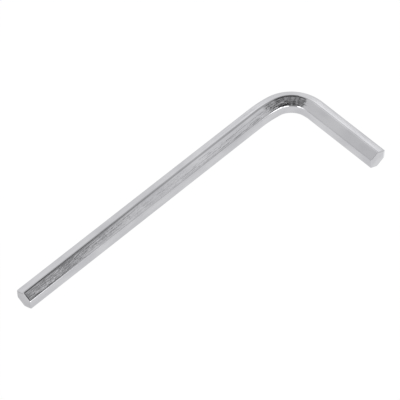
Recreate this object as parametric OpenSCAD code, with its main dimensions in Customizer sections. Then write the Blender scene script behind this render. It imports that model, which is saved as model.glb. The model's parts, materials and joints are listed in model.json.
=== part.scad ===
// Hexagon key, bent once from a length of drawn bar. It lies flat, on the lower ridges of both arms.
// The long arm runs from the bend to -X and the short arm runs from the bend to -Y.
// The origin is under the middle of the key, on the surface that it lies on.

/* [Bar] */
// Width of the bar across two opposite flats
across_flats = 4; // [2:0.5:8]
// Radius that rounds each of the six ridges
ridge_radius = 0.5; // [0.1:0.05:0.8]

/* [Arms] */
// Length of the long arm, from its end face to the outside of the bend
long_arm = 74; // [40:1:200]
// Length of the short arm, from its end face to the outside of the bend
short_arm = 26; // [20:1:80]
// Radius of the bend on its inner flat
inner_bend = 5; // [2:0.5:8]

/* [Ends] */
// Depth of the bevel round each end face
end_bevel = 0.2; // [0.05:0.05:0.6]

/* [Hidden] */
$fn = 120;
flats = 6;
flat_angle = 360 / flats;
half_bar = across_flats / 2;
ridge_centre = (half_bar - ridge_radius) / cos(flat_angle / 2);
ridge_height = ridge_centre + ridge_radius;
bend_radius = inner_bend + half_bar;
long_end = -long_arm / 2;
short_end = -short_arm / 2;
// Centre that the bar is bent round
bend_x = long_arm / 2 - across_flats - inner_bend;
bend_y = short_arm / 2 - across_flats - inner_bend;

// Section of the bar, with a flat to the left and right and a ridge above and below
module bar_section() {
  ridge_angles = [for (i = [0 : flats - 1]) flat_angle * (i + 0.5)];
  polygon([for (ridge = ridge_angles, side = [-flat_angle / 2, flat_angle / 2])
    ridge_centre * [cos(ridge), sin(ridge)] + ridge_radius * [cos(ridge + side), sin(ridge + side)]]);
  for (ridge = ridge_angles)
    translate(ridge_centre * [cos(ridge), sin(ridge)]) circle(ridge_radius);
}

// What the bevel takes off one flat at the end of an arm
module bevel_cut() {
  rotate([0, -45, 0]) translate([0, -half_bar, -half_bar]) cube(across_flats);
}

// Straight arm that stands on z = 0, with its free end bevelled
module arm(length) {
  difference() {
    linear_extrude(length) bar_section();
    for (i = [0 : flats - 1])
      rotate(flat_angle * i) translate([half_bar, 0, length - end_bevel]) bevel_cut();
  }
}

// Quarter turn from the long arm into the short one
module bend() {
  rotate_extrude(angle = 90) translate([bend_radius, 0]) bar_section();
}

module hex_key() {
  color("silver") translate([bend_x, bend_y, ridge_height]) {
    bend();
    translate([0, bend_radius, 0]) rotate([90, 0, -90]) arm(bend_x - long_end);
    translate([bend_radius, 0, 0]) rotate([90, 0, 0]) arm(bend_y - short_end);
  }
}

hex_key();
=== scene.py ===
import json
import math
import bmesh
import bpy
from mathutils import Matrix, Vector


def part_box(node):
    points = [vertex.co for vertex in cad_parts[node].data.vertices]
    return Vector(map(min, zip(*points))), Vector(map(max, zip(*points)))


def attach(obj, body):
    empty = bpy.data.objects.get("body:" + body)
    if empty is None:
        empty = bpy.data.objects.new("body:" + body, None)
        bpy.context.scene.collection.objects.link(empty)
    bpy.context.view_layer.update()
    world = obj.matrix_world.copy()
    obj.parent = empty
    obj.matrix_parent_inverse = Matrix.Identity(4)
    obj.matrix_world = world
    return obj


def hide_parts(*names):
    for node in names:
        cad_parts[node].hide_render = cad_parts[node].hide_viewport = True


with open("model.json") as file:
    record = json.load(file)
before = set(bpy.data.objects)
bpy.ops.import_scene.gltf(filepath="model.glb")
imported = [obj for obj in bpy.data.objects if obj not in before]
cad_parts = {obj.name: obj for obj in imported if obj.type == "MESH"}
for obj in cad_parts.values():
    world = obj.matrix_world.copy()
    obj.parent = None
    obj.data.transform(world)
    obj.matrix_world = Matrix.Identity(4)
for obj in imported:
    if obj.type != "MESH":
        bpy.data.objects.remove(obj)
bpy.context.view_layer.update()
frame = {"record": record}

# Sizes of the bar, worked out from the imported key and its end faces, in metres
low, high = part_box("hex_key")
endFaces = {mount["name"]: Vector(mount["pos_m"]) for mount in frame["record"]["mounts"]}
longEnd = endFaces["long_end_face"]
shortEnd = endFaces["short_end_face"]
quarterTurn = math.radians(90)
flatAngle = 60  # degrees that a flat takes up, seen from the middle of the bar
halfFlat = math.radians(flatAngle / 2)
halfBar = high.y - longEnd.y  # from the middle of the bar to a flat
sharpRidge = halfBar / math.cos(halfFlat)  # from the middle of the bar to a ridge that isn't rounded
ridgeRadius = (sharpRidge - (high.z - low.z) / 2) / (1 / math.cos(halfFlat) - 1)
samePlace = 1e-6  # points closer than this are at one place
print("bar", round(2000 * halfBar, 3), "mm across flats")
print("ridges rounded to", round(1000 * ridgeRadius, 3), "mm")


# The key, with lengths in metres and angles in degrees

keyBar = {
    "innerBend": 0.005,      # radius of the bend on its inner flat
    "startTurn": 10,         # how far the bar turns slowly before the bend
    "startRadius": 0.025,    # radius of that slow turn
    "startSteps": 9,
    "bendSteps": 34,
    "workedLength": (0.003, 0.003),  # roughened part before the bend, and how it fades at the bend's end
    "crown": 0.05,           # how far the flats swell towards a circle
    "flatSteps": 5,          # cuts across each flat
    "ridgeSteps": 8,         # segments round each ridge
    "roundRidge": 0.536,     # bevel profile that is a true arc where the faces turn by 60 degrees
    "pressedShare": 0.055,   # how far the two inner ridges are pressed in at the bend, as a share
    "pressedReach": 0.0014,  # how much of the surface beside them follows
    "pressedAngle": 22,      # half of the part of the bend that is pressed fully
    "pressedSlope": 0.03,    # how near to a ridge's crest an edge has to lie
    "ringPitch": 0.0015,     # distance between the rings of the arms
    "endLand": 0.0004,       # distance from an end face to the first ring
    "longBevel": (0.0002, 2),  # width and steps
    "shortBevel": (0.00004, 2),
    "bevelProfile": 0.5,
    "smoothAngle": 20,       # sharper edges than this stay sharp
    "cutRim": 0.0003,        # width of the rim of a cut face
    "ridgeSpan": 9.5,        # half of the angle that a ridge takes up, seen from the middle of the bar
    "ridgeGrain": 0.2,       # depth of the surface's grain on the ridges, as a share of the flats' grain
    # Shade of each cut face, and the painted light that its rim adds beside the flats at an angle from the
    # bend's outer side: painted highlights where positive and painted shade lines where negative, in place
    # of reflections in a rounded edge
    "longCut": {"shade": -0.19, "paintedRimLight": {60: -0.22, 120: 0.08, 180: -0.06}},
    "shortCut": {"shade": 0.03, "paintedRimLight": {0: 0.3, 60: -0.22, 180: 0.04}},
}


def deselectAll():
    for item in list(bpy.context.selected_objects):
        item.select_set(False)


def selectEdges(piece, wanted):
    # Leaves only the wanted edges of the mesh in edit mode selected
    mesh = bmesh.from_edit_mesh(piece.data)
    for part in (mesh.verts, mesh.edges, mesh.faces):
        for item in part:
            item.select = False
    bpy.context.tool_settings.mesh_select_mode = (False, True, False)
    chosen = [edge for edge in mesh.edges if wanted(edge)]
    for edge in chosen:
        edge.select_set(True)
    bmesh.update_edit_mesh(piece.data)
    return len(chosen)


def selectFaces(piece, wanted):
    # Leaves only the wanted faces of the mesh in edit mode selected
    mesh = bmesh.from_edit_mesh(piece.data)
    bpy.ops.mesh.select_all(action="DESELECT")
    bpy.context.tool_settings.mesh_select_mode = (False, False, True)
    chosen = [face for face in mesh.faces if wanted(face)]
    for face in chosen:
        face.select_set(True)
    bmesh.update_edit_mesh(piece.data)
    return len(chosen)


def turnsBy(edge, angle, spare=15):
    # True where the two faces at an edge turn by about this angle, in degrees
    return len(edge.link_faces) == 2 and abs(math.degrees(edge.calc_face_angle(0)) - angle) < spare


# The bar turns slowly through a few degrees, and then round the bend
startTurn = math.radians(keyBar["startTurn"])
startRadius = keyBar["startRadius"]
sweep = keyBar["innerBend"] + halfBar
bendRadius = (sweep - startRadius * (1 - math.cos(startTurn))) / math.cos(startTurn)
bendCentre = Vector((shortEnd.x - bendRadius, longEnd.y - sweep, longEnd.z))
towardsStart = Vector((-math.sin(startTurn), -math.cos(startTurn), 0))
startCentre = bendCentre + towardsStart * (startRadius - bendRadius)
startLength = startRadius * startTurn
bendLength = bendRadius * (quarterTurn - startTurn)


def barPlace(point):
    # A point's place on the bar before it was bent: along it from the start of the turn, across it and up
    fromStart = point - startCentre
    fromBend = point - bendCentre
    if fromStart.x < 0:
        return fromStart.x, fromStart.y - startRadius, fromBend.z
    turn = math.atan2(fromStart.x, fromStart.y)
    if turn < startTurn:
        return startRadius * turn, math.hypot(fromStart.x, fromStart.y) - startRadius, fromBend.z
    if fromBend.y < 0:
        return startLength + bendLength - fromBend.y, fromBend.x - bendRadius, fromBend.z
    turn = math.atan2(fromBend.x, fromBend.y)
    along = startLength + bendRadius * (turn - startTurn)
    return along, math.hypot(fromBend.x, fromBend.y) - bendRadius, fromBend.z


def cutFaceShadeAndPaintedRim(cutFace, side, up):
    # The middle of a cut face has one shade, and its rim adds painted highlights and painted shade lines
    # beside some of the flats
    if math.hypot(side, up) < halfBar / 2:
        return cutFace["shade"]
    flat = flatAngle * round(math.degrees(math.atan2(up, side)) / flatAngle) % 360
    return cutFace["shade"] + cutFace["paintedRimLight"].get(flat, 0)


def markStraightBar(piece):
    # Keeps each point's place on the bar before it was bent (along it, across it and up),
    # the work done by bending and the depth of the grain, which is less on the ridges
    piece.data.attributes.new("straightBar", "FLOAT_VECTOR", "POINT")
    piece.data.attributes.new("bendWork", "FLOAT", "POINT")
    piece.data.attributes.new("flatShare", "FLOAT", "POINT")
    marks = piece.data.attributes["straightBar"].data
    works = piece.data.attributes["bendWork"].data
    flats = piece.data.attributes["flatShare"].data
    before, after = keyBar["workedLength"]
    bent = startLength + bendLength
    for point, mark, work, flat in zip(piece.data.vertices, marks, works, flats):
        along, side, up = barPlace(point.co)
        mark.vector = (along, side, up)
        work.value = min(1, max(0, 1 + along / before), max(0, 1 - (along - bent + after) / after))
        fromFlat = math.degrees(math.atan2(up, side)) % flatAngle
        onRidge = abs(fromFlat - flatAngle / 2) < keyBar["ridgeSpan"]
        flat.value = keyBar["ridgeGrain"] if onRidge else 1
    # The long cut face is darker than the plating and the short one a little lighter, and their rims get
    # painted highlights and painted shade lines
    piece.data.attributes.new("cutShadeAndPaintedRims", "FLOAT", "FACE")
    for face, cut in zip(piece.data.polygons, piece.data.attributes["cutShadeAndPaintedRims"].data):
        middle = face.center
        if middle.x < longEnd.x + samePlace:
            cut.value = cutFaceShadeAndPaintedRim(keyBar["longCut"], middle.y - longEnd.y, middle.z - longEnd.z)
        elif middle.y < shortEnd.y + samePlace:
            cut.value = cutFaceShadeAndPaintedRim(keyBar["shortCut"], middle.x - shortEnd.x, middle.z - shortEnd.z)


def isPressed(edge):
    # Edges along the crests of the two inner ridges, round the middle of the bend
    first, second = (point.co for point in edge.verts)
    middle = (first + second) / 2 - bendCentre
    if middle.x <= 0 or middle.y <= 0 or abs(first.z - second.z) > samePlace:
        return False
    inward = bendRadius - math.hypot(middle.x, middle.y)
    if inward <= halfBar / 2:
        return False
    fromMiddle = math.atan2(middle.x, middle.y) - quarterTurn / 2
    onCrest = abs(abs(middle.z) / inward - math.tan(halfFlat)) < keyBar["pressedSlope"]
    return onCrest and abs(math.degrees(fromMiddle)) < keyBar["pressedAngle"]


def isCutFace(face):
    # The two end faces of the bar
    middle = face.calc_center_median()
    return middle.x < longEnd.x + samePlace or middle.y < shortEnd.y + samePlace


def makeKey():
    deselectAll()
    # A sharp hexagon on the long arm's end face, with a ridge above and below and its flats a little crowned
    bpy.ops.mesh.primitive_circle_add(vertices=6, radius=sharpRidge, fill_type="NGON", location=longEnd,
                                      rotation=(quarterTurn, 0, quarterTurn))
    piece = bpy.context.object
    piece.name = "hexKeyBar"
    bpy.ops.object.transform_apply(location=True, rotation=True, scale=True)
    bpy.ops.object.mode_set(mode="EDIT")
    print("outline edges", selectEdges(piece, lambda edge: edge.is_boundary))
    bpy.ops.mesh.subdivide(number_cuts=keyBar["flatSteps"])
    bpy.ops.transform.tosphere(value=keyBar["crown"], center_override=longEnd)
    widest = max(point.co.y - longEnd.y for point in bmesh.from_edit_mesh(piece.data).verts)
    bpy.ops.transform.resize(value=(halfBar / widest,) * 3, center_override=longEnd)
    bpy.ops.mesh.select_all(action="SELECT")
    land = keyBar["endLand"]
    longArm = startCentre.x - longEnd.x
    shortArm = bendCentre.y - shortEnd.y
    for length in (land, longArm - land):
        bpy.ops.mesh.extrude_region_move(TRANSFORM_OT_translate={"value": (length, 0, 0)})
    bpy.ops.mesh.spin(steps=keyBar["startSteps"], angle=startTurn, center=startCentre, axis=(0, 0, 1))
    bpy.ops.mesh.spin(steps=keyBar["bendSteps"], angle=quarterTurn - startTurn, center=bendCentre,
                      axis=(0, 0, 1))
    for length in (shortArm - land, land):
        bpy.ops.mesh.extrude_region_move(TRANSFORM_OT_translate={"value": (0, -length, 0)})
    # Rings along both arms, closer than the width of the bar
    for arm in (longArm, shortArm):
        selectEdges(piece, lambda edge: abs(edge.calc_length() - (arm - land)) < 10 * samePlace)
        bpy.ops.mesh.subdivide(number_cuts=round(arm / keyBar["ringPitch"]))
    bpy.ops.mesh.select_all(action="SELECT")
    bpy.ops.mesh.remove_doubles(threshold=samePlace)
    bpy.ops.mesh.normals_make_consistent(inside=False)
    print("ridge edges", selectEdges(piece, lambda edge: turnsBy(edge, flatAngle)))
    bpy.ops.mesh.bevel(offset_type="OFFSET", offset=ridgeRadius * math.tan(halfFlat),
                       segments=keyBar["ridgeSteps"], profile=keyBar["roundRidge"], affect="EDGES",
                       clamp_overlap=False)
    # The die has pressed the two inner ridges in at the middle of the bend
    bendMiddle = bendCentre + Vector((bendRadius, bendRadius, 0)) * math.sqrt(0.5)
    print("pressed edges", selectEdges(piece, isPressed))
    bpy.ops.transform.resize(value=(1 - keyBar["pressedShare"],) * 3, center_override=bendMiddle,
                             use_proportional_edit=True, proportional_edit_falloff="SMOOTH",
                             proportional_size=keyBar["pressedReach"])
    for end, bevel in ((longEnd, keyBar["longBevel"]), (shortEnd, keyBar["shortBevel"])):
        width, steps = bevel
        print("end edges", selectEdges(
            piece, lambda edge: turnsBy(edge, 90) and (edge.verts[0].co - end).length < 2 * halfBar))
        bpy.ops.mesh.bevel(offset_type="OFFSET", offset=width, segments=steps,
                           profile=keyBar["bevelProfile"], affect="EDGES", clamp_overlap=False)
    print("cut faces", selectFaces(piece, isCutFace))
    bpy.ops.mesh.inset(thickness=keyBar["cutRim"])
    bpy.ops.mesh.select_all(action="SELECT")
    bpy.ops.mesh.remove_doubles(threshold=samePlace)
    bpy.ops.mesh.normals_make_consistent(inside=False)
    bpy.ops.object.mode_set(mode="OBJECT")
    bpy.ops.object.shade_smooth_by_angle(angle=math.radians(keyBar["smoothAngle"]))
    markStraightBar(piece)
    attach(piece, "root")
    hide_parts("hex_key")
    return piece


key = makeKey()
print("key", len(key.data.polygons), "faces", [round(1000 * size, 3) for size in key.dimensions], "mm")


# Nodes

def addNode(tree, kind, place, **values):
    node = tree.nodes.new(kind)
    node.location = place
    for name, value in values.items():
        setattr(node, name, value)
    return node


def join(tree, source, target):
    tree.links.new(source, target)


def calculate(tree, operation, place, first, second):
    # Math node on two sockets or numbers, and its result
    node = addNode(tree, "ShaderNodeMath", place, operation=operation)
    for socket, value in zip(node.inputs, (first, second)):
        if isinstance(value, bpy.types.NodeSocket):
            join(tree, value, socket)
        else:
            socket.default_value = value
    return node.outputs[0]


def softEdge(tree, place, value, reach, soft):
    # 0 where the value is well under the reach and 1 where it is well over it
    edge = addNode(tree, "ShaderNodeMapRange", place, interpolation_type="SMOOTHSTEP")
    edge.inputs["From Min"].default_value = reach - soft
    edge.inputs["From Max"].default_value = reach + soft
    join(tree, value, edge.inputs["Value"])
    return edge.outputs[0]


def mixColour(tree, place, mask, first, second):
    # Mix node between two colours, each one a socket, a colour or a grey, and its result
    mix = addNode(tree, "ShaderNodeMix", place, data_type="RGBA")
    colourInputs, colourOutput = mix.inputs[6:8], mix.outputs[2]
    join(tree, mask, mix.inputs["Factor"])
    for socket, colour in zip(colourInputs, (first, second)):
        if isinstance(colour, bpy.types.NodeSocket):
            join(tree, colour, socket)
        elif isinstance(colour, tuple):
            socket.default_value = colour
        else:
            socket.default_value = (colour, colour, colour, 1)
    return colourOutput


# Plated steel, with noise scales per metre and depths in metres

platedSteel = {
    "brightColour": (0.575, 0.575, 0.593, 1),
    "dullColour": (0.5, 0.5, 0.521, 1),
    "roughness": 0.08,
    # Scale across the bar, stretch along it and detail of each noise
    "clouds": (320, 0.5, 4),   # dull and bright patches of the plating
    "grain": (2300, 0.25, 2),  # fine grain of the plating
    "drawnLines": (4500, 0.03, 1),  # lines that the drawing die left along the bar
    "cloudEdge": (0.5, 0.2),   # middle and softness of the edge between dull and bright
    "grainDepth": 0.000016,
    "lineDepth": 0.000015,
    "bendShare": 1.8,          # how much deeper grain and lines are where the bar is bent
}


def barNoise(tree, place, scale, stretch, detail):
    # Noise drawn out along the bar, by its place before bending
    column, row = place
    spot = addNode(tree, "ShaderNodeAttribute", place, attribute_name="straightBar")
    drawnOut = addNode(tree, "ShaderNodeMapping", (column + 200, row))
    drawnOut.inputs["Scale"].default_value = (stretch, 1, 1)
    join(tree, spot.outputs["Vector"], drawnOut.inputs["Vector"])
    noise = addNode(tree, "ShaderNodeTexNoise", (column + 400, row))
    noise.inputs["Scale"].default_value = scale
    noise.inputs["Detail"].default_value = detail
    join(tree, drawnOut.outputs["Vector"], noise.inputs["Vector"])
    return noise.outputs["Fac"]


def addBump(tree, place, height, distance):
    bump = addNode(tree, "ShaderNodeBump", place)
    join(tree, distance, bump.inputs["Distance"])
    join(tree, height, bump.inputs["Height"])
    return bump


def makePlatedSteel():
    material = bpy.data.materials.new("platedSteel")
    material.use_nodes = True
    tree = material.node_tree
    steel = tree.nodes["Principled BSDF"]
    steel.inputs["Metallic"].default_value = 1
    steel.inputs["Roughness"].default_value = platedSteel["roughness"]
    # Colour: clouds in the plating, and the shade of the cut faces with painted highlights and painted shade
    # lines on their rims
    clouds = barNoise(tree, (-1500, 600), *platedSteel["clouds"])
    patches = softEdge(tree, (-900, 600), clouds, *platedSteel["cloudEdge"])
    plating = mixColour(tree, (-700, 600), patches, platedSteel["dullColour"], platedSteel["brightColour"])
    # Shade of the cut faces, with the painted highlights and painted shade lines of their rims
    shade = addNode(tree, "ShaderNodeAttribute", (-700, 900), attribute_name="cutShadeAndPaintedRims")
    colour = addNode(tree, "ShaderNodeVectorMath", (-500, 600), operation="SCALE")
    join(tree, plating, colour.inputs[0])
    join(tree, calculate(tree, "ADD", (-600, 900), shade.outputs["Fac"], 1), colour.inputs["Scale"])
    join(tree, colour.outputs[0], steel.inputs["Base Color"])
    # Grain and drawn lines, deeper where the bar is bent and less deep on the ridges
    work = addNode(tree, "ShaderNodeAttribute", (-1100, 300), attribute_name="bendWork")
    depth = addNode(tree, "ShaderNodeMapRange", (-900, 300))
    depth.inputs["To Min"].default_value = 1
    depth.inputs["To Max"].default_value = platedSteel["bendShare"]
    join(tree, work.outputs["Fac"], depth.inputs["Value"])
    flat = addNode(tree, "ShaderNodeAttribute", (-1100, 100), attribute_name="flatShare")
    worked = calculate(tree, "MULTIPLY", (-900, 200), depth.outputs[0], flat.outputs["Fac"])
    grain = barNoise(tree, (-1500, 0), *platedSteel["grain"])
    grainDepth = calculate(tree, "MULTIPLY", (-700, 200), worked, platedSteel["grainDepth"])
    grainBump = addBump(tree, (-500, 0), grain, grainDepth)
    lines = barNoise(tree, (-1500, -300), *platedSteel["drawnLines"])
    lineDepth = calculate(tree, "MULTIPLY", (-450, -300), worked, platedSteel["lineDepth"])
    lineBump = addBump(tree, (-250, -200), lines, lineDepth)
    join(tree, grainBump.outputs["Normal"], lineBump.inputs["Normal"])
    join(tree, lineBump.outputs["Normal"], steel.inputs["Normal"])
    return material


key.data.materials.clear()
key.data.materials.append(makePlatedSteel())
print("plated steel is on the key")


# Floor

studioFloor = {
    "size": 6,
    "colour": (0.02, 0.02, 0.02, 1),
    "roughness": 0.9,
    "glowColour": (1, 1, 1, 1),
    "glow": 0.99,
}


def makeFloor():
    deselectAll()
    bpy.ops.mesh.primitive_plane_add(size=studioFloor["size"], location=(0, 0, low.z))
    floor = bpy.context.object
    floor.name = "studioFloor"
    material = bpy.data.materials.new("paleFloor")
    material.use_nodes = True
    paint = material.node_tree.nodes["Principled BSDF"]
    paint.inputs["Base Color"].default_value = studioFloor["colour"]
    paint.inputs["Roughness"].default_value = studioFloor["roughness"]
    paint.inputs["Specular IOR Level"].default_value = 0
    paint.inputs["Emission Color"].default_value = studioFloor["glowColour"]
    paint.inputs["Emission Strength"].default_value = studioFloor["glow"]
    floor.data.materials.append(material)


# Light: a patchy ceiling and softboxes far away, each bounded by planes

def wedge(start, end, soft):
    # Planes that keep the directions between two azimuths, in degrees, anticlockwise from +X
    first, last = math.radians(start), math.radians(end)
    return [((-math.sin(first), math.cos(first), 0), 0, soft),
            ((math.sin(last), -math.cos(last), 0), 0, soft)]


def below(height, soft):
    return [((0, 0, -1), -height, soft)]


def above(height, soft):
    return [((0, 0, 1), height, soft)]


studioLight = {
    "darkCeiling": 0.1,
    "paleCeiling": 0.6,
    "ceilingClouds": 13,       # noise scale of the dark and pale patches
    "ceilingDetail": 2,
    "cloudEdge": (0.5, 0.12),  # middle and softness of the edge between them
    # A plane has its normal, how far along it a direction has to reach and how soft that edge is.
    # Each softbox covers the ones before it.
    "softboxes": [
        # Ceiling
        {"strength": 0.4, "planes": [((1, 0, 0), 0.15, 0.25)]},
        {"strength": 0.45, "planes": [((1, 0, -0.25), 0, 0.15), ((0, -1, -0.4), 0, 0.1)]},
        {"strength": 0.04, "planes": [((0.7, 0.7, 0), -0.17, 0.02)]},
        {"strength": 0.62, "planes": wedge(-60, 12, 0.06) + below(0.9, 0.05)},
        {"strength": 0.62, "planes": wedge(78, 135, 0.06) + below(0.9, 0.05)},
        {"strength": 0.04, "planes": wedge(-166, -92, 0.05) + below(0.8, 0.015)},
        # Behind the short arm and in line with the upper ridge
        {"strength": 0.88, "planes": [((-0.29, 0.957, -0.285), -0.03, 0.012),
                                      ((0.74, 0.957, -0.1), -0.33, 0.03)]},
        {"strength": 1.12, "planes": [((0, 1, -0.4), 0, 0.03), ((1, 0, 0.2), 0, 0.1)]},
        {"strength": 0.09, "planes": wedge(39, 50, 0.02) + below(0.85, 0.03)},
        {"strength": 0.74, "planes": wedge(50, 67.5, 0.03) + below(0.85, 0.03)},
        {"strength": 0.95, "planes": wedge(67, 85, 0.02) + below(0.85, 0.03)},
        # In front of the long arm, seen in its middle flat
        {"strength": 0.65, "planes": [((1, 0, -0.43), 0, 0.045),
                                      ((-1, 0, 0.59), 0, 0.012)] + above(0.6, 0.1)},
        {"strength": 1.02, "planes": [((1, -0.3, -0.693), -0.1, 0.13), ((-1, 0, 0.655), 0, 0.03),
                                      ((0, -1, -0.4), 0, 0.1)]},
        {"strength": 0.04, "planes": [((-1, 0, 0.48), 0, 0.03), ((0, -1, -0.66), 0, 0.008),
                                      ((0, 1, 0.88), 0, 0.02)]},
        {"strength": 0.2, "planes": [((1, 0, -0.39), 0, 0.03), ((-1, 0, 0.47), 0, 0.03),
                                     ((0, -1, -0.42), 0, 0.05), ((0, 1, 0.59), 0, 0.01)]},
        {"strength": 0.7, "planes": [((1, 0, -0.5), 0, 0.03), ((0, -1, -0.685), 0, 0.008)]},
        {"strength": 0.45, "planes": [((1, 0, -0.58), 0, 0.01), ((0, -1, -0.665), 0, 0.008)]},
        # Walls all round
        {"strength": 1.05, "planes": below(0.22, 0.12)},
        {"strength": 0.78, "planes": wedge(50, 66.5, 0.02) + below(0.34, 0.03) + above(0.12, 0.04)},
        # In front, seen in the lower ridges from the long arm round the bend to the short arm
        {"strength": 1, "planes": wedge(-215, -45, 0.05) + below(0.66, 0.03)},
        {"strength": 0.82, "planes": wedge(-225, -194, 0.03) + below(0.68, 0.03)},
        {"strength": 0.55, "planes": wedge(-156, -119, 0.03) + below(0.68, 0.03) + above(0.05, 0.03)},
        {"strength": 2.8, "planes": wedge(-120, -77, 0.07) + below(0.69, 0.02) + above(0.13, 0.03)},
        {"strength": 3.4, "planes": wedge(-76, -68, 0.02) + below(0.715, 0.02) + above(0.32, 0.03)},
        {"strength": 2.8, "planes": wedge(-190, -156, 0.03) + below(0.71, 0.02) + above(0.13, 0.03)},
        {"strength": 1.15, "planes": wedge(-99, -81, 0.04) + below(0.67, 0.02) + above(0.27, 0.03)},
        {"strength": 1.15, "planes": wedge(-189, -173, 0.04) + below(0.67, 0.02) + above(0.27, 0.03)},
        # Low down behind the key, seen in the top flats
        {"strength": 1.27, "planes": wedge(44, 64.3, 0.02) + below(0.16, 0.05)},
        {"strength": 1.36, "planes": wedge(10, 32, 0.05) + below(0.4, 0.2)},
        # Darker walls at the sides
        {"strength": 0.5, "planes": wedge(106, 126, 0.05) + below(0.3, 0.05)},
        {"strength": 0.5, "planes": wedge(-40, -14, 0.05) + below(0.3, 0.05)},
    ],
}


def makeWorld():
    world = bpy.data.worlds.new("studioWorld")
    bpy.context.scene.world = world
    world.use_nodes = True
    tree = world.node_tree
    place = addNode(tree, "ShaderNodeTexCoord", (-1800, 0))
    direction = place.outputs["Generated"]
    clouds = addNode(tree, "ShaderNodeTexNoise", (-1500, 600))
    clouds.inputs["Scale"].default_value = studioLight["ceilingClouds"]
    clouds.inputs["Detail"].default_value = studioLight["ceilingDetail"]
    join(tree, direction, clouds.inputs["Vector"])
    patches = softEdge(tree, (-1300, 600), clouds.outputs["Fac"], *studioLight["cloudEdge"])
    light = mixColour(tree, (-1000, 600), patches, studioLight["darkCeiling"], studioLight["paleCeiling"])
    for number, box in enumerate(studioLight["softboxes"]):
        row = -300 * number
        mask = 1
        for count, (normal, reach, soft) in enumerate(box["planes"]):
            column = 400 * count - 1500
            side = addNode(tree, "ShaderNodeVectorMath", (column, row), operation="DOT_PRODUCT")
            side.inputs[1].default_value = normal
            join(tree, direction, side.inputs[0])
            edge = softEdge(tree, (column + 200, row), side.outputs["Value"], reach, soft)
            mask = calculate(tree, "MULTIPLY", (column + 200, row - 150), mask, edge)
        light = mixColour(tree, (100 + 100 * number, row), mask, light, box["strength"])
    join(tree, light, tree.nodes["Background"].inputs["Color"])


# Camera, with angles in degrees, lens and sensor in millimetres and the rest in metres

cameraSetup = {
    "azimuth": -44.41,
    "elevation": 53.97,
    "distance": 0.4868,
    "focalLength": 224.1,
    "sensorWidth": 36,
    "target": (0.0042, 0.0055, 0.0),
    "clip": (0.01, 20),
}


def makeCamera():
    azimuth = math.radians(cameraSetup["azimuth"])
    elevation = math.radians(cameraSetup["elevation"])
    back = Vector((math.sin(azimuth) * math.cos(elevation), -math.cos(azimuth) * math.cos(elevation),
                   math.sin(elevation)))
    place = Vector(cameraSetup["target"]) + back * cameraSetup["distance"]
    deselectAll()
    bpy.ops.object.camera_add(location=place, rotation=back.to_track_quat("Z", "Y").to_euler())
    camera = bpy.context.object
    camera.name = "photoCamera"
    camera.data.lens = cameraSetup["focalLength"]
    camera.data.sensor_width = cameraSetup["sensorWidth"]
    camera.data.clip_start, camera.data.clip_end = cameraSetup["clip"]
    bpy.context.scene.camera = camera


makeFloor()
makeWorld()
makeCamera()
bpy.context.scene.view_settings.view_transform = "Standard"
print("floor, light and camera are set")
